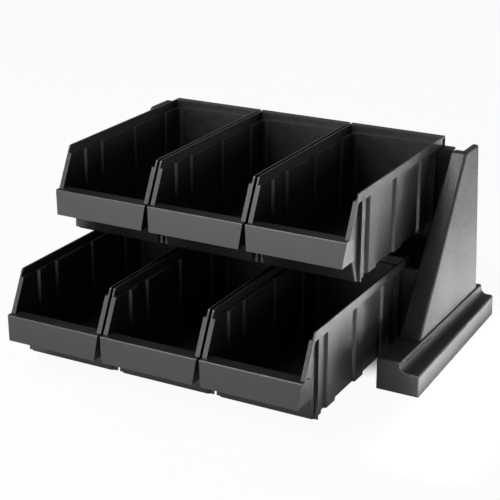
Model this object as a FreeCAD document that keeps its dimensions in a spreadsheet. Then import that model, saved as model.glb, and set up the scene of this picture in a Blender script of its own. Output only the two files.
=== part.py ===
import FreeCAD, Part
import math
import os
import types

import Sketcher

# Two-tier condiment stand: six open hopper bins hang by their rear rims on two cross panels,
# and the panels are screwed to bosses inside two moulded end supports.
# Frame: +X to the right, -Y to the front, +Z up, origin on the table under the middle of the stand.

LENGTHS = {
    # rows of bins
    "table_clearance": 11.1,
    "bin_gap": 3.5,
    "row_gap": 17.4,
    "row_advance": 105.2,
    # one bin, measured from the front of its lip and from its floor
    "bin_height": 107.5,
    "wall": 2.0,
    "rim_width": 126.5,
    "rim_length": 250.6,
    "rim_height": 11.0,
    "rim_setback": 31.2,
    "rear_jog": 5.6,
    "rim_overhang": 3.65,
    "corrugation": 3.2,
    "flank_run": 1.6,
    "cheek_length": 57.0,
    "pilaster_width": 25.0,
    "front_valley": 11.0,
    "rear_valley": 30.7,
    "rear_corner": 10.0,
    "front_corner": 4.0,
    "rim_corner": 4.5,
    "mouth_height": 59.4,
    "ledge_depth": 16.4,
    "front_foot": 38.0,
    "lip_height": 30.5,
    "lip_taper": 3.5,
    "lip_lean": 3.8,
    "lip_round": 1.8,
    "strip_foot": 7.1,
    "strip_run": 3.0,
    "front_fin": 38.9,
    "rear_fin_inset": 17.2,
    "hook_depth": 10.1,
    "hook_drop": 20.0,
    "bearing_depth": 1.7,
    "bearing_width": 3.0,
    "bearing_spread": 70.0,
    "bearing_margin": 12.0,
    # cross panels
    "seat_clearance": 0.3,
    "panel_thickness": 3.0,
    "upper_panel_height": 170.0,
    "lower_panel_height": 93.0,
    "hook_gap": 3.2,
    "panel_round": 1.2,
    "end_gap": 0.6,
    "tab_margin": 8.0,
    "tab_lift": 4.0,
    # end supports
    "side_gap": 15.95,
    "foot_toe": 66.9,
    "foot_heel": 13.1,
    "foot_height": 39.5,
    "foot_top_width": 29.5,
    "foot_width": 53.1,
    "foot_rear_width": 46.0,
    "ledge_height": 27.6,
    "step_round": 2.0,
    "ledge_round": 3.5,
    "cove_round": 8.0,
    "top_shortfall": 1.4,
    "upright_run": 150.2,
    "upright_back": 38.4,
    "web_reach": 27.0,
    "web_top_reach": 19.8,
    "web_wall": 9.0,
    "flange_wall": 10.0,
    "flange_lead": 5.3,
    "upright_sink": 5.0,
    "shoulder_round": 4.0,
    "cell_wall": 5.0,
    "cell_depth": 20.0,
    "end_block": 11.0,
    # screws and their bosses
    "boss_diameter": 9.0,
    "screw_diameter": 3.0,
    "hole_clearance": 0.4,
    "screw_length": 12.0,
    "head_diameter": 6.4,
    "head_height": 2.2,
    "screw_drop": 12.5,
    "upper_screw_spacing": 43.0,
    "lower_screw_spacing": 20.0,
    # allowance by which cutting shapes pass through what they cut
    "overrun": 12.0,
}
PILASTERS = 3
CELLS = 5

doc = FreeCAD.newDocument("condiment_bin_stand")
sheet = doc.addObject("Spreadsheet::Sheet", "Sizes")
for row, (alias, length) in enumerate(LENGTHS.items(), start=1):
    sheet.set(f"A{row}", alias)
    sheet.set(f"B{row}", str(length))
    sheet.setAlias(f"B{row}", alias)
doc.recompute()


class Size:
    """A length with its present value and the sheet expression that gives it."""

    def __init__(self, value, text):
        self.value = value
        self.text = text

    def __add__(self, other):
        return Size(self.value + other.value, f"({self.text} + {other.text})")

    def __sub__(self, other):
        return Size(self.value - other.value, f"({self.text} - {other.text})")

    def __neg__(self):
        return Size(-self.value, f"(0 - {self.text})")

    def __mul__(self, other):
        if isinstance(other, Size):
            return Size(self.value * other.value, f"({self.text} * {other.text})")
        return Size(self.value * other, f"({self.text} * {other})")

    def __truediv__(self, other):
        if isinstance(other, Size):
            return Size(self.value / other.value, f"({self.text} / {other.text})")
        return Size(self.value / other, f"({self.text} / {other})")


S = types.SimpleNamespace(**{a: Size(float(sheet.get(a)), f"Sizes.{a}") for a in LENGTHS})
ZERO = Size(0.0, "0")
TOUCH = 1e-4


def plane_of(body, role):
    """One of the body's own origin planes."""
    return [f for f in body.Origin.OriginFeatures if f.Role == role][0]


def locate(sketch, geometry, spot, corner, found):
    """Constraints that hold a point at its two named distances from the sketch origin."""
    for axis, size in (("DistanceX", corner[0]), ("DistanceY", corner[1])):
        if abs(size.value) < TOUCH:
            line = -2 if axis == "DistanceX" else -1
            found.append((Sketcher.Constraint("PointOnObject", geometry, spot, line), None))
        elif size.value > 0:
            rule = Sketcher.Constraint(axis, -1, 1, geometry, spot, size.value)
            found.append((rule, size.text))
        else:
            rule = Sketcher.Constraint(axis, geometry, spot, -1, 1, -size.value)
            found.append((rule, (-size).text))


def add_loop(sketch, corners):
    """A closed loop of lines; a corner with a third entry is rounded to that radius."""
    count = len(corners)
    spots = [FreeCAD.Vector(c[0].value, c[1].value, 0) for c in corners]
    leave, arrive, arcs = [], [], []
    for i, corner in enumerate(corners):
        ahead = (spots[(i + 1) % count] - spots[i]).normalize()
        behind = (spots[i] - spots[i - 1]).normalize()
        if len(corner) < 3:
            leave.append(spots[i])
            arrive.append(spots[i])
            arcs.append(None)
            continue
        turn = math.atan2(behind.cross(ahead).z, behind.dot(ahead))
        radius = corner[2].value
        tangent = radius * math.tan(abs(turn) / 2)
        start = spots[i] - behind * tangent
        finish = spots[i] + ahead * tangent
        side = FreeCAD.Vector(-behind.y, behind.x, 0) * math.copysign(radius, turn)
        centre = start + side
        arrive.append(start)
        leave.append(finish)
        first, last = (start, finish) if turn > 0 else (finish, start)
        begin = math.atan2(first.y - centre.y, first.x - centre.x)
        end = math.atan2(last.y - centre.y, last.x - centre.x)
        circle = Part.Circle(centre, FreeCAD.Vector(0, 0, 1), radius)
        arcs.append((Part.ArcOfCircle(circle, begin, end), turn > 0))
    base = sketch.GeometryCount
    lines = [Part.LineSegment(leave[i], arrive[(i + 1) % count]) for i in range(count)]
    sketch.addGeometry(lines, False)
    found = []
    for i, corner in enumerate(corners):
        into, out = base + (i - 1) % count, base + i
        if arcs[i] is None:
            found.append((Sketcher.Constraint("Coincident", into, 2, out, 1), None))
            locate(sketch, out, 1, corner, found)
            continue
        arc = sketch.addGeometry(arcs[i][0], False)
        apex = sketch.addGeometry(Part.Point(spots[i]), True)
        entry, leaving = (1, 2) if arcs[i][1] else (2, 1)
        found.append((Sketcher.Constraint("Tangent", into, 2, arc, entry), None))
        found.append((Sketcher.Constraint("Tangent", arc, leaving, out, 1), None))
        found.append((Sketcher.Constraint("Radius", arc, corner[2].value), corner[2].text))
        found.append((Sketcher.Constraint("PointOnObject", apex, 1, into), None))
        found.append((Sketcher.Constraint("PointOnObject", apex, 1, out), None))
        locate(sketch, apex, 1, corner, found)
    bind(sketch, found)


def bind(sketch, found):
    """Adds the constraints and ties each measured one to its sheet expression."""
    first = sketch.ConstraintCount
    sketch.addConstraint([rule for rule, text in found])
    for i, (rule, text) in enumerate(found):
        if text is not None:
            sketch.setExpression(f"Constraints[{first + i}]", text)


def add_circle(sketch, across, up, diameter):
    """A circle held by its centre and diameter."""
    spot = FreeCAD.Vector(across.value, up.value, 0)
    ring = Part.Circle(spot, FreeCAD.Vector(0, 0, 1), diameter.value / 2)
    index = sketch.addGeometry(ring, False)
    found = [(Sketcher.Constraint("Diameter", index, diameter.value), diameter.text)]
    locate(sketch, index, 3, (across, up), found)
    bind(sketch, found)


def sketch_on(body, name, role, offset=None):
    """An empty sketch on one of the body's origin planes, set off along its normal."""
    sketch = body.newObject("Sketcher::SketchObject", name)
    sketch.AttachmentSupport = [(plane_of(body, role), "")]
    sketch.MapMode = "FlatFace"
    if offset is not None:
        sketch.setExpression("AttachmentOffset.Base.z", offset.text)
    return sketch


def profile(body, name, role, loops, offset=None):
    """A sketch that holds one or more closed loops."""
    sketch = sketch_on(body, name, role, offset)
    for loop in loops:
        add_loop(sketch, loop)
    return sketch


def settle(feature):
    """Recomputes the document and stops where the feature has failed."""
    doc.recompute()
    if "Invalid" in feature.State or "Error" in feature.State or not feature.Shape.isValid():
        raise RuntimeError(f"{feature.Name} failed: {feature.State}")
    return feature


def pad(body, name, sketch, length, side="One side", reverse=False):
    """Material raised from a profile."""
    feature = body.newObject("PartDesign::Pad", name)
    feature.Profile = sketch
    feature.SideType = side
    feature.Reversed = reverse
    feature.setExpression("Length", length.text)
    return settle(feature)


def pocket(body, name, sketch, length, side="One side", reverse=False):
    """Material taken away along a profile; it has to take some."""
    before = body.Shape.Volume
    feature = body.newObject("PartDesign::Pocket", name)
    feature.Profile = sketch
    feature.SideType = side
    feature.Reversed = reverse
    feature.setExpression("Length", length.text)
    settle(feature)
    if not body.Shape.Volume < before:
        raise RuntimeError(f"{name} cuts nothing")
    return feature


def hollow_out(body, name, inside):
    """Takes one body's shape out of another."""
    feature = body.newObject("PartDesign::Boolean", name)
    feature.setObjects([inside])
    feature.Type = "Cut"
    return settle(feature)


def rounded(body, name, radius, chosen):
    """Rounds the edges of the body that satisfy the test."""
    base = body.Tip
    names = []
    for i, edge in enumerate(base.Shape.Edges, start=1):
        if chosen(edge):
            names.append(f"Edge{i}")
    if not names:
        raise RuntimeError(f"{name} finds no edge")
    feature = body.newObject("PartDesign::Fillet", name)
    feature.Base = (base, names)
    feature.setExpression("Radius", radius.text)
    return settle(feature)


def both_ends(edge, test):
    """True where both end points of an edge satisfy the test."""
    return all(test(v.Point) for v in edge.Vertexes)


def near(value, size):
    """True where a coordinate equals a size."""
    return abs(value - size.value) < TOUCH


# One bin: lip front at y = 0, floor underside at z = 0, centred on x.
rim_half = S.rim_width / 2
rim_rear = S.rim_setback + S.rim_length
rim_foot = S.bin_height - S.rim_height
rim_step = rim_foot + S.wall
side_half = rim_half - S.rim_overhang
valley_half = side_half - S.corrugation
back_face = rim_rear - S.rear_jog
hook_rear = rim_rear + S.hook_depth
lip_foot = S.mouth_height - S.lip_height
ledge_under = S.mouth_height - S.wall
front_rake = (S.front_foot - S.ledge_depth) / (S.mouth_height - S.wall)
mouth_rake = (S.rim_setback - S.strip_foot) / (S.bin_height - S.mouth_height)
rim_front = S.strip_foot + mouth_rake * (rim_foot - S.mouth_height)
first_pilaster = S.cheek_length + S.front_valley
last_pilaster = back_face - S.rear_valley - S.pilaster_width
pilaster_pitch = (last_pilaster - first_pilaster) / (PILASTERS - 1)


def tub_plan(inset, front, corner):
    """Plan of the tub, pilasters on both sides; the inside is the same plan set in by the wall."""
    outer = side_half - inset
    inner = valley_half - inset
    right = [(outer, front)]
    right.append((outer, S.cheek_length - S.flank_run - inset))
    right.append((inner, S.cheek_length - inset))
    for i in range(PILASTERS):
        start = first_pilaster + pilaster_pitch * i
        right.append((inner, start + inset))
        right.append((outer, start + S.flank_run + inset))
        right.append((outer, start + S.pilaster_width - S.flank_run - inset))
        right.append((inner, start + S.pilaster_width - inset))
    right.append((inner, back_face - inset, corner))
    left = [(-spot[0],) + tuple(spot[1:]) for spot in reversed(right)]
    return right + left


def front_line(height, inset):
    """Place of the raked front wall at a height, inside face or, set out by the wall, outside face."""
    return S.front_foot - inset + front_rake * (S.wall - height)


cavity = doc.addObject("PartDesign::Body", "bin_cavity")
plan = profile(cavity, "cavity_plan", "XY_Plane",
               [tub_plan(S.wall, -S.overrun, S.rear_corner - S.wall)], S.wall)
pad(cavity, "cavity_block", plan, rim_step - S.wall)
rake = profile(cavity, "cavity_rake", "YZ_Plane", [[
    (-S.overrun, S.wall), (S.front_foot, S.wall),
    (S.ledge_depth, S.mouth_height), (-S.overrun, S.mouth_height)]])
pocket(cavity, "cavity_front", rake, S.rim_width, "Symmetric")


def on_inner_rake(point):
    """True on the raked front face of the cavity below the ledge."""
    reach = S.front_foot.value + front_rake.value * (S.wall.value - point.z)
    return abs(point.y - reach) < TOUCH and point.z < S.mouth_height.value + TOUCH


def cavity_corner(edge):
    """The two raked corners between the front and the sides of the cavity."""
    return both_ends(edge, on_inner_rake) and abs(edge.Vertexes[0].Z - edge.Vertexes[1].Z) > TOUCH


rounded(cavity, "cavity_corners", S.front_corner - S.wall, cavity_corner)
mouth = profile(cavity, "rim_mouth", "XY_Plane", [[
    (rim_half - S.wall, -S.overrun), (rim_half - S.wall, rim_rear - S.wall),
    (S.wall - rim_half, rim_rear - S.wall), (S.wall - rim_half, -S.overrun)]], rim_step)
pad(cavity, "rim_space", mouth, S.rim_height)

tub = doc.addObject("PartDesign::Body", "upper_left_bin")
plan = profile(tub, "tub_plan", "XY_Plane", [tub_plan(ZERO, ZERO, S.rear_corner)])
pad(tub, "tub_block", plan, rim_step)
rake = profile(tub, "tub_rake", "YZ_Plane", [[
    (-S.overrun, ZERO), (front_line(ZERO, S.wall), ZERO),
    (front_line(ledge_under, S.wall), ledge_under), (-S.overrun, ledge_under)]])
pocket(tub, "tub_front", rake, S.rim_width, "Symmetric")


def outer_corner(edge):
    """The two raked corners between the front wall and the sides."""
    def on_rake(point):
        reach = front_line(ZERO, S.wall).value - front_rake.value * point.z
        return abs(point.y - reach) < TOUCH and point.z < S.mouth_height.value
    return both_ends(edge, on_rake) and abs(edge.Vertexes[0].Z - edge.Vertexes[1].Z) > TOUCH


rounded(tub, "tub_corners", S.front_corner, outer_corner)
band = profile(tub, "rim_plan", "XY_Plane", [[
    (rim_half, rim_front), (rim_half, rim_rear),
    (-rim_half, rim_rear), (-rim_half, rim_front)]], rim_foot)
pad(tub, "rim_band", band, S.rim_height)
strip = profile(tub, "strip_section", "YZ_Plane", [[
    (S.strip_foot, S.mouth_height), (S.strip_foot + S.strip_run, S.mouth_height),
    (rim_front + S.strip_run, rim_foot), (rim_front, rim_foot)]])
pad(tub, "cheek_strips", strip, S.rim_width, "Symmetric")
fins = profile(tub, "fin_plan", "XY_Plane", [
    [(rim_half, at), (rim_half, at + S.wall), (-rim_half, at + S.wall), (-rim_half, at)]
    for at in (S.front_fin, back_face - S.rear_fin_inset)])
pad(tub, "fins", fins, rim_foot)
visor = profile(tub, "visor_section", "YZ_Plane", [[
    (-S.lip_lean, lip_foot), (front_line(lip_foot, ZERO), lip_foot),
    (S.ledge_depth, S.mouth_height), (ZERO, S.mouth_height)]])
pad(tub, "visor", visor, S.rim_width, "Symmetric")
lip_foot_half = rim_half - S.lip_taper
taper = profile(tub, "lip_taper", "XZ_Plane", [
    [(lip_foot_half, lip_foot), (rim_half, lip_foot), (rim_half, S.mouth_height)],
    [(-rim_half, lip_foot), (-lip_foot_half, lip_foot), (-rim_half, S.mouth_height)]], S.lip_lean)
pocket(tub, "lip_sides", taper, S.lip_lean + front_line(lip_foot, ZERO))
hook = profile(tub, "hook_section", "YZ_Plane", [[
    (rim_rear - S.wall, S.bin_height - S.wall), (hook_rear - S.wall, S.bin_height - S.wall),
    (hook_rear - S.wall, S.bin_height - S.hook_drop), (hook_rear, S.bin_height - S.hook_drop),
    (hook_rear, S.bin_height), (rim_rear - S.wall, S.bin_height)]])
pad(tub, "rear_hook", hook, S.rim_width, "Symmetric")
bearing_half = S.bearing_width / 2
bearings = profile(tub, "bearing_plan", "XY_Plane", [
    [(at - bearing_half, back_face - S.wall), (at + bearing_half, back_face - S.wall),
     (at + bearing_half, back_face + S.bearing_depth), (at - bearing_half, back_face + S.bearing_depth)]
    for at in (S.bearing_spread / 2, -(S.bearing_spread / 2))], S.bearing_margin)
pad(tub, "bearing_ribs", bearings, rim_foot - S.bearing_margin * 2)
hollow_out(tub, "tub_hollow", cavity)
opening = profile(tub, "front_opening", "YZ_Plane", [[
    (-S.overrun, S.mouth_height), (S.strip_foot, S.mouth_height),
    (S.rim_setback, S.bin_height), (-S.overrun, S.bin_height)]])
pocket(tub, "opening_cut", opening, S.rim_width + S.overrun, "Symmetric")
void = profile(tub, "visor_void", "YZ_Plane", [[
    (S.wall - S.lip_lean, lip_foot), (front_line(lip_foot, S.wall), lip_foot),
    (front_line(ledge_under, S.wall), ledge_under), (S.wall, ledge_under)]])
pocket(tub, "visor_hollow", void, (side_half - S.wall) * 2, "Symmetric")
rounded(tub, "lip_edge", S.lip_round,
        lambda edge: both_ends(edge, lambda p: near(p.y, ZERO) and near(p.z, S.mouth_height)))
rounded(tub, "rim_corners", S.rim_corner,
        lambda edge: both_ends(edge, lambda p: near(p.y, S.rim_setback) and near(p.z, S.bin_height)))

# Main lines of the stand, measured like a bin of the upper row; the table is at z = 0.
bin_pitch = S.rim_width + S.bin_gap
upper_floor = S.table_clearance + S.bin_height + S.row_gap
inner_face = bin_pitch + rim_half + S.side_gap
panel_face = back_face + S.bearing_depth + S.seat_clearance
lower_face = panel_face - S.row_advance
shelf_height = rim_foot - S.seat_clearance
upper_top = upper_floor + shelf_height
lower_top = S.table_clearance + shelf_height
upright_height = upper_top - S.top_shortfall
upright_rear = panel_face + S.upright_back
top_front = panel_face - S.flange_lead
upright_front = top_front - S.upright_run
flange_rake = S.upright_run / (upright_height - S.foot_height)
web_rake = (S.web_reach - S.web_top_reach) / (upright_height - S.foot_height)
foot_front = upright_front - S.foot_toe
foot_rear = upright_rear + S.foot_heel
middle = (foot_rear - S.row_advance - S.lip_lean) / 2


def place(thing, across, along, up):
    """Binds the place of a piece to the sheet."""
    thing.setExpression("Placement.Base.x", across.text)
    thing.setExpression("Placement.Base.y", along.text)
    thing.setExpression("Placement.Base.z", up.text)


place(tub, -bin_pitch, -middle, upper_floor)
pieces = [tub]
for label, across, along, up in (
        ("upper_middle_bin", ZERO, -middle, upper_floor),
        ("upper_right_bin", bin_pitch, -middle, upper_floor),
        ("lower_left_bin", -bin_pitch, -middle - S.row_advance, S.table_clearance),
        ("lower_middle_bin", ZERO, -middle - S.row_advance, S.table_clearance),
        ("lower_right_bin", bin_pitch, -middle - S.row_advance, S.table_clearance)):
    twin = doc.addObject("App::Link", label)
    twin.LinkedObject = tub
    place(twin, across, along, up)
    pieces.append(twin)

# Right end support, and the tabs and screws of the panels behind its sloping flange.
tab_half = inner_face + S.web_top_reach - S.web_wall - S.end_gap
screw_across = (inner_face + tab_half) / 2


def tab_top(face):
    """Top of a panel's tab, which stays below the sloping flange in front of the panel."""
    return S.foot_height + (face - S.flange_wall - upright_front) / flange_rake - S.tab_margin


def screw_levels(face, spacing):
    """Heights of the two screws in a panel's tab."""
    high = tab_top(face) - S.screw_drop
    return (high - spacing, high)


boss_sets = (
    ("upper", panel_face, screw_levels(panel_face, S.upper_screw_spacing)),
    ("lower", lower_face, screw_levels(lower_face, S.lower_screw_spacing)))


def web_line(height):
    """Place of the outer face of the leaning web at a height."""
    return inner_face + S.web_reach - web_rake * (height - S.foot_height)


def flange_line(height):
    """Place of the front of the sloping flange at a height."""
    return upright_front + flange_rake * (height - S.foot_height)


def upright_block(body, name, bottom, top, near_side, flange_wall, web_wall, rear):
    """The upright, or its hollow: a wedge seen from the side whose outer face leans inwards."""
    side = profile(body, f"{name}_side", "YZ_Plane", [[
        (flange_line(bottom) + flange_wall, bottom), (rear, bottom),
        (rear, top), (flange_line(top) + flange_wall, top)]], near_side)
    outside = web_line(bottom) - web_wall
    pad(body, f"{name}_block", side, outside - near_side)
    lean = profile(body, f"{name}_lean", "XZ_Plane", [[
        (outside, bottom), (outside, top), (web_line(top) - web_wall, top)]], -flange_line(bottom))
    pocket(body, f"{name}_web", lean, rear - flange_line(bottom))


hollow_body = doc.addObject("PartDesign::Body", "upright_hollow")
upright_block(hollow_body, "hollow", S.foot_height, upright_height + S.overrun, inner_face - S.overrun,
              S.flange_wall, S.web_wall, upright_rear + S.overrun)
for name, face, heights in boss_sets:
    sketch = sketch_on(hollow_body, f"{name}_boss_plan", "XZ_Plane", -face)
    for height in heights:
        add_circle(sketch, screw_across, height, S.boss_diameter)
    pocket(hollow_body, f"{name}_bosses", sketch, upright_rear, reverse=True)

support = doc.addObject("PartDesign::Body", "right_end_support")
upright_block(support, "upright", S.foot_height - S.upright_sink, upright_height, inner_face,
              ZERO, ZERO, upright_rear)
foot_step = inner_face + S.foot_top_width
foot_outer = inner_face + S.foot_width
foot_rear_outer = inner_face + S.foot_rear_width
plan = profile(support, "foot_plan", "XY_Plane", [[
    (inner_face, foot_front), (foot_outer, foot_front),
    (foot_rear_outer, foot_rear), (inner_face, foot_rear)]])
pad(support, "foot", plan, S.foot_height)
above = S.foot_height + S.overrun
beside = foot_outer + S.overrun
ledge = profile(support, "ledge_section", "XZ_Plane", [[
    (foot_step, above), (foot_step, S.ledge_height, S.cove_round),
    (beside, S.ledge_height), (beside, above)]], -foot_front)
pocket(support, "foot_ledge", ledge, foot_rear - foot_front)


def step_edge(edge):
    """The long edge where the step leaves the top of the foot."""
    return both_ends(edge, lambda p: near(p.x, foot_step) and near(p.z, S.foot_height))


def ledge_edge(edge):
    """The long outer edge of the ledge."""
    return edge.Length > S.upright_run.value and both_ends(
        edge, lambda p: near(p.z, S.ledge_height) and p.x > foot_rear_outer.value - TOUCH)


rounded(support, "step_edge", S.step_round, step_edge)
rounded(support, "ledge_edge", S.ledge_round, ledge_edge)


def shoulder(edge):
    """The long edge between the sloping flange and the outer web."""
    ends = sorted(edge.Vertexes, key=lambda v: v.Z)
    return (near(ends[-1].Z, upright_height) and near(ends[-1].Y, top_front)
            and near(ends[-1].X, inner_face + S.web_top_reach) and near(ends[0].Z, S.foot_height))


rounded(support, "shoulder", S.shoulder_round, shoulder)
hollow_out(support, "upright_core", hollow_body)
cells = []
cell_near = inner_face + S.cell_wall
cell_far = inner_face + S.foot_rear_width - S.cell_wall
cell_pitch = (foot_rear - foot_front - S.end_block * 2 + S.cell_wall) / CELLS
for i in range(CELLS):
    begin = foot_front + S.end_block + cell_pitch * i
    end = begin + cell_pitch - S.cell_wall
    cells.append([(cell_near, begin), (cell_far, begin), (cell_far, end), (cell_near, end)])
under = profile(support, "cell_plan", "XY_Plane", cells)
pocket(support, "foot_cells", under, S.cell_depth, reverse=True)
pilot = S.screw_diameter + S.hole_clearance
pilot_depth = S.screw_length - S.panel_thickness + S.end_gap
for name, face, heights in boss_sets:
    sketch = sketch_on(support, f"{name}_pilot_plan", "XZ_Plane", -face)
    for height in heights:
        add_circle(sketch, screw_across, height, pilot)
    pocket(support, f"{name}_pilots", sketch, pilot_depth, reverse=True)
place(support, ZERO, -middle, ZERO)
left = doc.addObject("Part::Mirroring", "left_end_support")
left.Source = support
left.Normal = FreeCAD.Vector(1, 0, 0)
pieces += [support, left]

# Cross panels: a plate, a shelf along its top that carries the bins, tabs behind the flanges.
shelf_half = inner_face - S.end_gap
shelf_depth = hook_rear - S.wall - S.hook_gap - panel_face


def panel(label, face, foot, top, shelf_end, tab_outline, heights):
    """One cross panel with its screw holes; the outline of its right half runs upwards."""
    body = doc.addObject("PartDesign::Body", label)
    right = tab_outline + [(tab_half, tab_top(face)), (shelf_end, tab_top(face)), (shelf_end, top)]
    outline = right + [(-spot[0], spot[1]) for spot in reversed(right)]
    plate = profile(body, f"{label}_outline", "XZ_Plane", [outline], -face)
    pad(body, f"{label}_plate", plate, S.panel_thickness, reverse=True)
    shelf = profile(body, f"{label}_shelf_section", "YZ_Plane", [[
        (face, top - S.panel_thickness), (face + shelf_depth, top - S.panel_thickness),
        (face + shelf_depth, top), (face, top)]])
    pad(body, f"{label}_shelf", shelf, shelf_end * 2, "Symmetric")
    rounded(body, f"{label}_front_edge", S.panel_round, lambda edge: both_ends(
        edge, lambda p: near(p.y, face) and near(p.z, top)))
    holes = sketch_on(body, f"{label}_hole_plan", "XZ_Plane", -face)
    for height in heights:
        add_circle(holes, screw_across, height, pilot)
        add_circle(holes, -screw_across, height, pilot)
    pocket(body, f"{label}_holes", holes, S.panel_thickness)
    place(body, ZERO, -middle, ZERO)
    return body


upper_foot = upper_top - S.upper_panel_height
lower_foot = lower_top - S.lower_panel_height
lower_tab_foot = S.foot_height + S.tab_lift
pieces.append(panel("upper_back_panel", panel_face, upper_foot, upper_top, shelf_half,
                    [(tab_half, upper_foot)], boss_sets[0][2]))
pieces.append(panel("lower_back_panel", lower_face, lower_foot, lower_top, shelf_half,
                    [(shelf_half, lower_foot), (shelf_half, lower_tab_foot), (tab_half, lower_tab_foot)],
                    boss_sets[1][2]))

# Screws: pan heads against the backs of the panels, shanks into the bosses.
screw = doc.addObject("PartDesign::Body", "screw")
shank = sketch_on(screw, "shank_plan", "XZ_Plane")
add_circle(shank, ZERO, ZERO, S.screw_diameter)
pad(screw, "shank", shank, S.screw_length)
head = sketch_on(screw, "head_plan", "XZ_Plane")
add_circle(head, ZERO, ZERO, S.head_diameter)
pad(screw, "head", head, S.head_height, reverse=True)
screws = []
for name, face, heights in boss_sets:
    for side, spot in (("right", screw_across), ("left", -screw_across)):
        for level, height in zip(("low", "high"), heights):
            twin = doc.addObject("App::Link", f"{name}_{side}_{level}_screw")
            twin.LinkedObject = screw
            place(twin, spot, face + S.panel_thickness - middle, height)
            screws.append(twin)
group = doc.addObject("Part::Compound", "panel_screws")
group.Links = screws
pieces.append(group)
doc.recompute()

for thing in doc.Objects:
    if "Invalid" in thing.State or "Error" in thing.State:
        raise RuntimeError(f"{thing.Name} failed: {thing.State}")
os.makedirs("parts", exist_ok=True)
for piece in pieces:
    shape = Part.getShape(piece)
    if shape.isNull() or not shape.isValid():
        raise RuntimeError(f"{piece.Label} has no valid shape")
    shape.exportStep(f"parts/{piece.Label}.step")
    print(f"{piece.Label}: {len(shape.Solids)} solids, {shape.Volume:.0f} cubic mm")
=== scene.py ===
import math

import bmesh
import bpy
from mathutils import Euler, Matrix, Vector


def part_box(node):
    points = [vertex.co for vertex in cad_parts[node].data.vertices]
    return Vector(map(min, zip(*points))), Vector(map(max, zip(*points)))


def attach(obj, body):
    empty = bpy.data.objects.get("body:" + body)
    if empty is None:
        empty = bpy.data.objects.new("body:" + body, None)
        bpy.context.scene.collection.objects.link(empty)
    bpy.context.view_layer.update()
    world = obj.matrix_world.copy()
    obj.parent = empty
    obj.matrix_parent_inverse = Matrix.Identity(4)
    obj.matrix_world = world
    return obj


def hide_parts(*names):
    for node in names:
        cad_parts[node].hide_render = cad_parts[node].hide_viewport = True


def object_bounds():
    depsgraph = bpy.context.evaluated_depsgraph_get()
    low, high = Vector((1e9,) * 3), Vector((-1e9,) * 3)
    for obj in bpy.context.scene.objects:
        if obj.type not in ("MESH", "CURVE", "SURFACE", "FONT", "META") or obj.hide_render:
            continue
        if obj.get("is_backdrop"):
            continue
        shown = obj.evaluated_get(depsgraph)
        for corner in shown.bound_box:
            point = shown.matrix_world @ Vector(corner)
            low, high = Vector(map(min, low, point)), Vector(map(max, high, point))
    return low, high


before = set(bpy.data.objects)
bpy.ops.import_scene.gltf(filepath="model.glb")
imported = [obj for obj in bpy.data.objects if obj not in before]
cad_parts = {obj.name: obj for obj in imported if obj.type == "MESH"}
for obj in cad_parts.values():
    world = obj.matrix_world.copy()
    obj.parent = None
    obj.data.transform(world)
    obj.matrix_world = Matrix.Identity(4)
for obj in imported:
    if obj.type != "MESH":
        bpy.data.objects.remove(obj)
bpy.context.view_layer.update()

MM = 0.001
BINS = [f"{row}_{side}_bin" for row in ("upper", "lower") for side in ("left", "middle", "right")]
FIRST_BIN = BINS[0]

# Edge radii of the pieces in metres, and the shares of them that some edges get.
BIN_EDGE = 0.45 * MM
BIN_FLOOR_EDGE = 3.0 * MM
FIN_EDGE_SHARE = 0.3
RIM_REAR_CORNER = 1.2 * MM
SUPPORT_EDGE = 0.6 * MM
FOOT_EDGE = 1.9 * MM
UPRIGHT_EDGE = 3.2 * MM
RAKED_EDGE_SHARE = 0.6
PANEL_EDGE = 0.4 * MM
SCREW_EDGE = 0.05 * MM

# Lengths that tell edges apart, in metres: how far behind a bin's front its front fins stand, the
# shortest long edge of a foot and of an upright, and how far inside the middle of an end support
# its outer edges begin.
FIN_PLACE = 42.7 * MM
FOOT_RUN = 200 * MM
UPRIGHT_RUN = 100 * MM
OUTER_REACH = 12 * MM

# Angles between faces that count as sharp and as flat, and distances that count as none.
SHARP = math.radians(32)
FLAT = math.radians(0.6)
MERGE = 0.01 * MM
CLOSE = 0.05 * MM


def only(piece):
    """Selects one object and nothing else."""
    bpy.ops.object.select_all(action="DESELECT")
    piece.select_set(True)
    bpy.context.view_layer.objects.active = piece


def copied(source, name, shift=(0.0, 0.0, 0.0)):
    """A copy of an object with its mesh moved by a shift."""
    piece = bpy.data.objects.new(name, source.data.copy())
    bpy.context.scene.collection.objects.link(piece)
    piece.data.transform(Matrix.Translation(shift))
    return piece


def join(pieces):
    """Joins pieces into the first of them."""
    only(pieces[0])
    for piece in pieces[1:]:
        piece.select_set(True)
    bpy.ops.object.join()


def cast(node, name):
    """A copy of a node with its triangles joined into whole faces."""
    piece = copied(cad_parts[node], name)
    only(piece)
    bpy.ops.object.mode_set(mode="EDIT")
    bpy.ops.mesh.select_all(action="SELECT")
    bpy.ops.mesh.remove_doubles(threshold=MERGE)
    bpy.ops.mesh.dissolve_limited(angle_limit=FLAT)
    bpy.ops.object.mode_set(mode="OBJECT")
    return piece


def round_edges(piece, radius, segments, share, limited=True):
    """Rounds the sharp edges of a piece, each by the share of the radius that its two ends give.

    A limited rounding stays clear of its neighbours and may come out smaller.
    """
    only(piece)
    shape = bmesh.new()
    shape.from_mesh(piece.data)
    layers = shape.edges.layers.float
    weights = layers.get("bevel_weight_edge") or layers.new("bevel_weight_edge")
    for edge in shape.edges:
        sharp = edge.is_manifold and edge.calc_face_angle() > SHARP
        edge[weights] = float(share(edge.verts[0].co, edge.verts[1].co)) if sharp else 0.0
    shape.to_mesh(piece.data)
    shape.free()
    rounding = piece.modifiers.new("rounding", "BEVEL")
    rounding.width = radius
    rounding.segments = segments
    rounding.limit_method = "WEIGHT"
    rounding.use_clamp_overlap = limited
    bpy.ops.object.modifier_apply(modifier="rounding")


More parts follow.
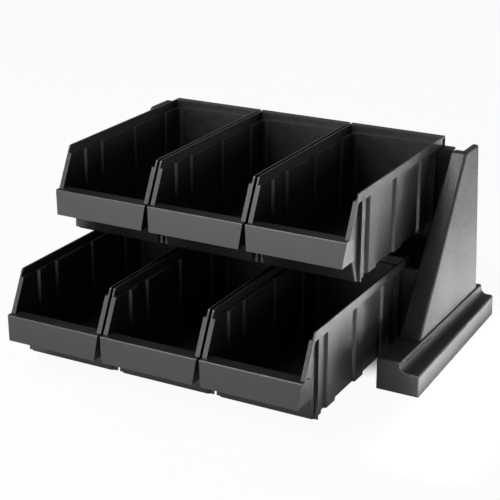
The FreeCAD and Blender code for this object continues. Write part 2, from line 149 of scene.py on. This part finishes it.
def soften(piece, radius):
    """Rounds all edges that are still sharp, and marks the rounded faces, which the finishes pale as
    wear and painted highlight.
    """
    only(piece)
    piece.data.materials.clear()
    piece.data.materials.append(None)
    piece.data.materials.append(None)
    edges = piece.modifiers.new("edges", "BEVEL")
    edges.width = radius
    edges.segments = 2
    edges.limit_method = "ANGLE"
    edges.angle_limit = SHARP
    edges.material = 1
    edges.use_clamp_overlap = True
    bpy.ops.object.modifier_apply(modifier="edges")
    # The finishes make the marked rounded faces paler: partly chips of wear, partly a painted
    # highlight.
    rounded_faces = piece.data.attributes.new("rounded_faces", "FLOAT", "FACE")
    for face in piece.data.polygons:
        rounded_faces.data[face.index].value = float(face.material_index)
        face.material_index = 0
    bpy.ops.object.shade_smooth_by_angle(angle=SHARP)
    flats = piece.modifiers.new("flats", "WEIGHTED_NORMAL")
    flats.mode = "FACE_AREA"
    flats.weight = 100
    flats.keep_sharp = True
    bpy.ops.object.modifier_apply(modifier="flats")


def stands_for(piece, node, body, material):
    """Puts a finished piece in the place of its node."""
    piece.data.materials.clear()
    piece.data.materials.append(material)
    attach(piece, body)
    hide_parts(node)


# Shader nodes

def feed(tree, node, given):
    """Links outputs to the inputs of a node, or sets the inputs to plain values."""
    for label, value in given.items():
        if isinstance(value, bpy.types.NodeSocket):
            tree.links.new(value, node.inputs[label])
        else:
            node.inputs[label].default_value = value


def maths(tree, operation, first, second):
    """The value that an operation makes of two others."""
    node = tree.nodes.new("ShaderNodeMath")
    node.operation = operation
    feed(tree, node, {0: first, 1: second})
    return node.outputs["Value"]


def mixed(tree, kind, factor, first, second):
    """The mix of two colours or of two values."""
    node = tree.nodes.new("ShaderNodeMix")
    node.data_type = kind
    feed(tree, node, {"Factor": factor, "A": first, "B": second})
    return node.outputs["Result"]


def mapped(tree, value, band, low=0.0, high=1.0, blend="LINEAR"):
    """A value whose band is stretched to the range from low to high."""
    node = tree.nodes.new("ShaderNodeMapRange")
    node.interpolation_type = blend
    feed(tree, node, {"Value": value, "From Min": band[0], "From Max": band[1],
                      "To Min": low, "To Max": high})
    return node.outputs["Result"]


# Finishes

# What the shared skin puts out, and the noise that each of its sizes belongs to.
SKIN_MARKS = ("Grain", "Patches", "Scuffs")
SKIN_NOISE = {"Grain size": {"Detail": 3.0, "Roughness": 0.62},
              "Patch size": {"Detail": 4.0},
              "Scuff size": {"Detail": 7.0, "Roughness": 0.7, "Distortion": 0.6}}

# Bands of the noise that turn into scuffs, into paler edges that are chips of wear and a painted
# highlight, and into roughness, and the share that grain has in the roughness.
SCUFF_BAND = (0.66, 0.76)
EDGE_CHIP_AND_HIGHLIGHT_BAND = (0.42, 0.58)
SHEEN_BAND = (0.3, 0.7)
GRAIN_IN_SHEEN = 0.65


def moulded_skin():
    """Grain, flow patches and scuffs of a surface, shared by all the finishes."""
    skin = bpy.data.node_groups.new("moulded_skin", "ShaderNodeTree")
    for label in SKIN_NOISE:
        skin.interface.new_socket(name=label, in_out="INPUT", socket_type="NodeSocketFloat")
    for label in SKIN_MARKS:
        skin.interface.new_socket(name=label, in_out="OUTPUT", socket_type="NodeSocketFloat")
    sizes = skin.nodes.new("NodeGroupInput")
    place = skin.nodes.new("ShaderNodeTexCoord")
    patterns = []
    for label, detail in SKIN_NOISE.items():
        noise = skin.nodes.new("ShaderNodeTexNoise")
        feed(skin, noise, {"Vector": place.outputs["Object"], "Scale": sizes.outputs[label], **detail})
        patterns.append(noise.outputs["Fac"])
    grain, patches, pale_marks = patterns
    scuffs = mapped(skin, pale_marks, SCUFF_BAND)
    result = skin.nodes.new("NodeGroupOutput")
    feed(skin, result, {"Grain": grain, "Patches": patches, "Scuffs": scuffs})
    return skin


def black_finish(name, skin, dark, light, pale_marks, rough_low, rough_high, sizes, bump, depth,
                 specular=0.5, metallic=0.0):
    """A black finish whose colour drifts, with scuffs, and edges paled by wear and painted highlight.

    The grain is in the roughness and in the relief.
    """
    material = bpy.data.materials.new(name)
    material.use_nodes = True
    tree = material.node_tree
    surface = tree.nodes.new("ShaderNodeGroup")
    surface.node_tree = skin
    feed(tree, surface, dict(zip(SKIN_NOISE, sizes)))
    grain, patches, scuffs = (surface.outputs[label] for label in SKIN_MARKS)
    rounded_faces = tree.nodes.new("ShaderNodeAttribute")
    rounded_faces.attribute_name = "rounded_faces"
    # Rounded edges turn paler where the noise allows: partly chips of wear, partly a painted
    # highlight.
    edge_chips_and_highlight = maths(tree, "MULTIPLY", rounded_faces.outputs["Fac"], mapped(tree, patches, EDGE_CHIP_AND_HIGHLIGHT_BAND))
    pale = maths(tree, "MAXIMUM", edge_chips_and_highlight, scuffs)
    drift = mixed(tree, "RGBA", patches, (*dark, 1.0), (*light, 1.0))
    colour = mixed(tree, "RGBA", pale, drift, (*pale_marks, 1.0))
    sheen = mixed(tree, "FLOAT", GRAIN_IN_SHEEN, patches, grain)
    relief = tree.nodes.new("ShaderNodeBump")
    feed(tree, relief, {"Strength": bump, "Distance": depth, "Height": grain})
    feed(tree, tree.nodes["Principled BSDF"], {
        "Base Color": colour,
        "Roughness": mapped(tree, sheen, SHEEN_BAND, rough_low, rough_high),
        "Normal": relief.outputs["Normal"],
        "Specular IOR Level": specular,
        "Metallic": metallic})
    return material


skin = moulded_skin()
# The bins' pale edge colour is raised to paint a highlight on their rounded edges, beside chips of
# wear.
bin_black = black_finish(
    "bin_black", skin, dark=(0.005, 0.005, 0.0053), light=(0.010, 0.010, 0.0103),
    pale_marks=(0.07, 0.07, 0.0715), rough_low=0.29, rough_high=0.49,
    sizes=(420.0, 130.0, 70.0), bump=0.3, depth=0.06 * MM, specular=0.8)
support_black = black_finish(
    "support_black", skin, dark=(0.011, 0.011, 0.0115), light=(0.017, 0.017, 0.0175),
    pale_marks=(0.04, 0.04, 0.041), rough_low=0.34, rough_high=0.66,
    sizes=(480.0, 14.0, 50.0), bump=0.95, depth=0.28 * MM, specular=1.0)
panel_black = black_finish(
    "panel_black", skin, dark=(0.010, 0.010, 0.0105), light=(0.015, 0.015, 0.0155),
    pale_marks=(0.03, 0.03, 0.031), rough_low=0.45, rough_high=0.6,
    sizes=(1400.0, 20.0, 60.0), bump=0.15, depth=0.05 * MM)
screw_black = black_finish(
    "screw_black", skin, dark=(0.04, 0.04, 0.042), light=(0.06, 0.06, 0.062),
    pale_marks=(0.12, 0.12, 0.122), rough_low=0.3, rough_high=0.42,
    sizes=(2500.0, 90.0, 400.0), bump=0.1, depth=0.03 * MM, metallic=0.8)

# Bins: one is shaped and the others are copies of it

bin_low, bin_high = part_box(FIRST_BIN)


def on_floor(first, last):
    """The whole radius on the front outline of the underside, and a share of it on the rest."""
    if max(first.z, last.z) > bin_low.z + CLOSE:
        return 0.0
    return 1.0 if min(first.y, last.y) < bin_low.y + FIN_PLACE - CLOSE else FIN_EDGE_SHARE


def at_rear_corner(first, last):
    """True on the two upright edges at the rear of the rim."""
    def at_corner(point):
        aside = min(point.x - bin_low.x, bin_high.x - point.x)
        return point.y > bin_high.y - CLOSE and aside < CLOSE
    return at_corner(first) and at_corner(last)


first_bin = cast(FIRST_BIN, f"{FIRST_BIN}_shell")
round_edges(first_bin, BIN_FLOOR_EDGE, segments=4, share=on_floor)
round_edges(first_bin, RIM_REAR_CORNER, segments=4, share=at_rear_corner)
soften(first_bin, BIN_EDGE)
shells = {FIRST_BIN: first_bin}
for node in BINS[1:]:
    shells[node] = copied(first_bin, f"{node}_shell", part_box(node)[0] - bin_low)
for node, shell in shells.items():
    stands_for(shell, node, node, bin_black)

# End supports and panels

for side in ("left", "right"):
    node = f"{side}_end_support"
    low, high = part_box(node)

    def on_foot(first, last):
        """True on the edges of the foot's two ends and on its long edges underneath."""
        front = max(first.y, last.y) < low.y + CLOSE
        rear = min(first.y, last.y) > high.y - CLOSE
        under = max(first.z, last.z) < CLOSE and abs(first.y - last.y) > FOOT_RUN
        return front or rear or under

    def on_upright(first, last):
        """The whole radius around the top and on the rear outer edge, a share on raked edges."""
        if min(first.z, last.z) > high.z - CLOSE:
            return 1.0
        rise = abs(first.z - last.z)
        if rise < UPRIGHT_RUN:
            return 0.0
        if abs(first.y - last.y) > rise / 2:
            return RAKED_EDGE_SHARE
        return float(min(abs(first.x), abs(last.x)) > abs(low.x + high.x) / 2 - OUTER_REACH)

    moulding = cast(node, f"{node}_moulding")
    round_edges(moulding, UPRIGHT_EDGE, segments=4, share=on_upright, limited=False)
    round_edges(moulding, FOOT_EDGE, segments=3, share=on_foot, limited=False)
    soften(moulding, SUPPORT_EDGE)
    stands_for(moulding, node, "stand", support_black)
for row in ("upper", "lower"):
    node = f"{row}_back_panel"
    sheet = cast(node, f"{node}_sheet")
    soften(sheet, PANEL_EDGE)
    stands_for(sheet, node, "stand", panel_black)

# Screws: one pan head with a cross recess, copied to its eight places

SCREW_RADIUS = 3.2 * MM
SCREW_HEAD = 2.2 * MM
HEAD_SIDES = 40
HEAD_CROWN = 0.55 * SCREW_HEAD
SHANK_RADIUS = 1.5 * MM
SHANK_LENGTH = 12.0 * MM
SHANK_SIDES = 24
SHANK_TIP = 0.6 * SHANK_RADIUS
RECESS_LENGTH = 3.6 * MM
RECESS_WIDTH = 0.8 * MM
RECESS_DEPTH = 1.2 * MM
SCREW_ACROSS = 214.3 * MM
PANEL_THICKNESS = 3.0 * MM
SCREW_ROWS = {"upper": (161.3 * MM, 204.3 * MM), "lower": (50.3 * MM, 70.3 * MM)}


def rod(sides, radius, length, middle):
    """A cylinder along Y with its middle at a place on that axis."""
    bpy.ops.mesh.primitive_cylinder_add(vertices=sides, radius=radius, depth=length,
                                        location=(0, middle, 0), rotation=(math.pi / 2, 0, 0))
    bpy.ops.object.transform_apply(location=True, rotation=True, scale=True)
    return bpy.context.object


screw = rod(HEAD_SIDES, SCREW_RADIUS, SCREW_HEAD, SCREW_HEAD / 2)
round_edges(screw, HEAD_CROWN, segments=5,
            share=lambda first, last: min(first.y, last.y) > SCREW_HEAD - CLOSE)
shank = rod(SHANK_SIDES, SHANK_RADIUS, SHANK_LENGTH, -SHANK_LENGTH / 2)
round_edges(shank, SHANK_TIP, segments=2,
            share=lambda first, last: max(first.y, last.y) < CLOSE - SHANK_LENGTH)
for across, upright in ((RECESS_LENGTH, RECESS_WIDTH), (RECESS_WIDTH, RECESS_LENGTH)):
    bpy.ops.mesh.primitive_cube_add(size=1.0, location=(0, SCREW_HEAD, 0))
    cutter = bpy.context.object
    cutter.scale = (across, 2 * RECESS_DEPTH, upright)
    bpy.ops.object.transform_apply(location=True, rotation=True, scale=True)
    only(screw)
    recess = screw.modifiers.new("recess", "BOOLEAN")
    recess.operation = "DIFFERENCE"
    recess.object = cutter
    recess.solver = "EXACT"
    bpy.ops.object.modifier_apply(modifier="recess")
    bpy.data.objects.remove(cutter)
join([screw, shank])
soften(screw, SCREW_EDGE)
screw_set = []
for row, heights in SCREW_ROWS.items():
    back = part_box(f"{row}_back_panel")[0].y + PANEL_THICKNESS
    for across in (-SCREW_ACROSS, SCREW_ACROSS):
        for height in heights:
            screw_set.append(copied(screw, "panel_screw", (across, back, height)))
bpy.data.objects.remove(screw)
join(screw_set)
screw_set[0].name = "panel_screw_set"
stands_for(screw_set[0], "panel_screws", "stand", screw_black)

# Floor, light and camera

# The glow and the two mirrored values are shares of plain white: seen by the camera, and mirrored
# in the object. The floor has none in an oval under the stand, so that the shadow shows there.
WHITE = (1.0, 1.0, 1.0, 1.0)
FLOOR_REACH = 9.0
FLOOR_COLOUR = (0.82, 0.82, 0.82, 1.0)
FLOOR_GLOW = 0.95
FLOOR_MIRRORED = 0.2
UNDER_STAND = (0.22, 0.13)
UNDER_MIDDLE = 0.07
UNDER_FADE = (0.8, 1.2)
ROOM_MIRRORED = 0.05
HORIZON_BAND = (0.02, 0.3)
HORIZON_FILL = 1.0
CEILING_FILL = 0.06


def white_share(tree, direct, mirrored):
    """The share of plain white: seen straight or through a clear piece, or in a reflection."""
    rays = tree.nodes.new("ShaderNodeLightPath").outputs
    straight = maths(tree, "MAXIMUM", rays["Is Camera Ray"], rays["Is Transmission Ray"])
    seen = maths(tree, "MULTIPLY", straight, direct)
    reflected = maths(tree, "MULTIPLY", rays["Is Glossy Ray"], mirrored)
    return maths(tree, "MAXIMUM", seen, reflected)


bpy.ops.mesh.primitive_plane_add(size=2 * FLOOR_REACH, location=(0, 0, 0))
floor = bpy.context.object
floor.name = "floor"
floor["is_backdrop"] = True
white_floor = bpy.data.materials.new("white_floor")
white_floor.use_nodes = True
tree = white_floor.node_tree
tree.nodes.remove(tree.nodes["Principled BSDF"])
spot = tree.nodes.new("ShaderNodeTexCoord")
oval = tree.nodes.new("ShaderNodeMapping")
oval.vector_type = "TEXTURE"
feed(tree, oval, {"Vector": spot.outputs["Object"], "Location": (0.0, UNDER_MIDDLE, 0.0),
                  "Scale": (*UNDER_STAND, 1.0)})
away = tree.nodes.new("ShaderNodeVectorMath")
away.operation = "LENGTH"
feed(tree, away, {0: oval.outputs["Vector"]})
open_floor = mapped(tree, away.outputs["Value"], UNDER_FADE, blend="SMOOTHSTEP")
whiteness = maths(tree, "MULTIPLY", open_floor, white_share(tree, FLOOR_GLOW, FLOOR_MIRRORED))
matte = tree.nodes.new("ShaderNodeBsdfDiffuse")
feed(tree, matte, {"Color": FLOOR_COLOUR})
glow = tree.nodes.new("ShaderNodeEmission")
blend = tree.nodes.new("ShaderNodeMixShader")
feed(tree, blend, {"Fac": whiteness, 1: matte.outputs["BSDF"], 2: glow.outputs["Emission"]})
feed(tree, tree.nodes["Material Output"], {"Surface": blend.outputs["Shader"]})
floor.data.materials.append(white_floor)

world = bpy.data.worlds.new("studio")
bpy.context.scene.world = world
world.use_nodes = True
tree = world.node_tree
way = tree.nodes.new("ShaderNodeTexCoord")
split = tree.nodes.new("ShaderNodeSeparateXYZ")
feed(tree, split, {"Vector": way.outputs["Generated"]})
fill = mapped(tree, split.outputs["Z"], HORIZON_BAND, HORIZON_FILL, CEILING_FILL)
backdrop = mixed(tree, "FLOAT", white_share(tree, 1.0, ROOM_MIRRORED), fill, 1.0)
feed(tree, tree.nodes["Background"], {"Color": WHITE, "Strength": backdrop})


def softbox(name, place, aim, width, height, power):
    """A rectangular soft light that faces a point."""
    light = bpy.data.lights.new(name, "AREA")
    light.shape = "RECTANGLE"
    light.size = width
    light.size_y = height
    light.energy = power
    lamp = bpy.data.objects.new(name, light)
    bpy.context.scene.collection.objects.link(lamp)
    lamp.location = place
    lamp.rotation_euler = (Vector(aim) - Vector(place)).to_track_quat("-Z", "Y").to_euler()
    return lamp


softbox("front_softbox", place=(-0.85, -2.3, 0.52), aim=(0.0, -0.1, 0.12),
        width=1.6, height=0.9, power=18.5)
softbox("high_softbox", place=(-0.6, -1.0, 1.55), aim=(0.15, 0.05, 0.12),
        width=0.9, height=0.9, power=26.0)
softbox("far_right_softbox", place=(2.6, 1.3, 0.6), aim=(0.2, 0.0, 0.1),
        width=1.6, height=1.1, power=20.0)

# Narrow lights that face straight down at the right: place, width, length and power of each.
WASH_SPREAD = math.radians(30)
FLOOR_WASHES = {"near_floor_wash": ((0.322, 0.15, 0.14), 0.08, 0.7, 1.65),
                "far_floor_wash": ((0.6, 0.77, 0.3), 0.44, 0.66, 3.4)}
for name, (place, width, length, power) in FLOOR_WASHES.items():
    wash = softbox(name, place, (place[0], place[1], 0.0), width, length, power)
    wash.data.spread = WASH_SPREAD

CAMERA_PLACE = (0.79622, -1.45634, 0.74111)
CAMERA_TURN = math.radians(28.244)
CAMERA_DIP = math.radians(18.655)
CAMERA_ROLL = math.radians(0.195)
CAMERA_LENS = 103.715
CAMERA_SENSOR = 36.0
CAMERA_SHIFT = -0.1
camera_data = bpy.data.cameras.new("photo_camera")
camera_data.lens = CAMERA_LENS
camera_data.sensor_width = CAMERA_SENSOR
camera_data.shift_y = CAMERA_SHIFT
camera = bpy.data.objects.new("photo_camera", camera_data)
bpy.context.scene.collection.objects.link(camera)
aim = Euler((math.pi / 2 - CAMERA_DIP, 0.0, CAMERA_TURN)).to_matrix()
camera.matrix_world = (
    Matrix.Translation(CAMERA_PLACE) @ (aim @ Matrix.Rotation(CAMERA_ROLL, 3, "Z")).to_4x4())
bpy.context.scene.camera = camera
bpy.context.scene.view_settings.view_transform = "Standard"

low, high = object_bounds()
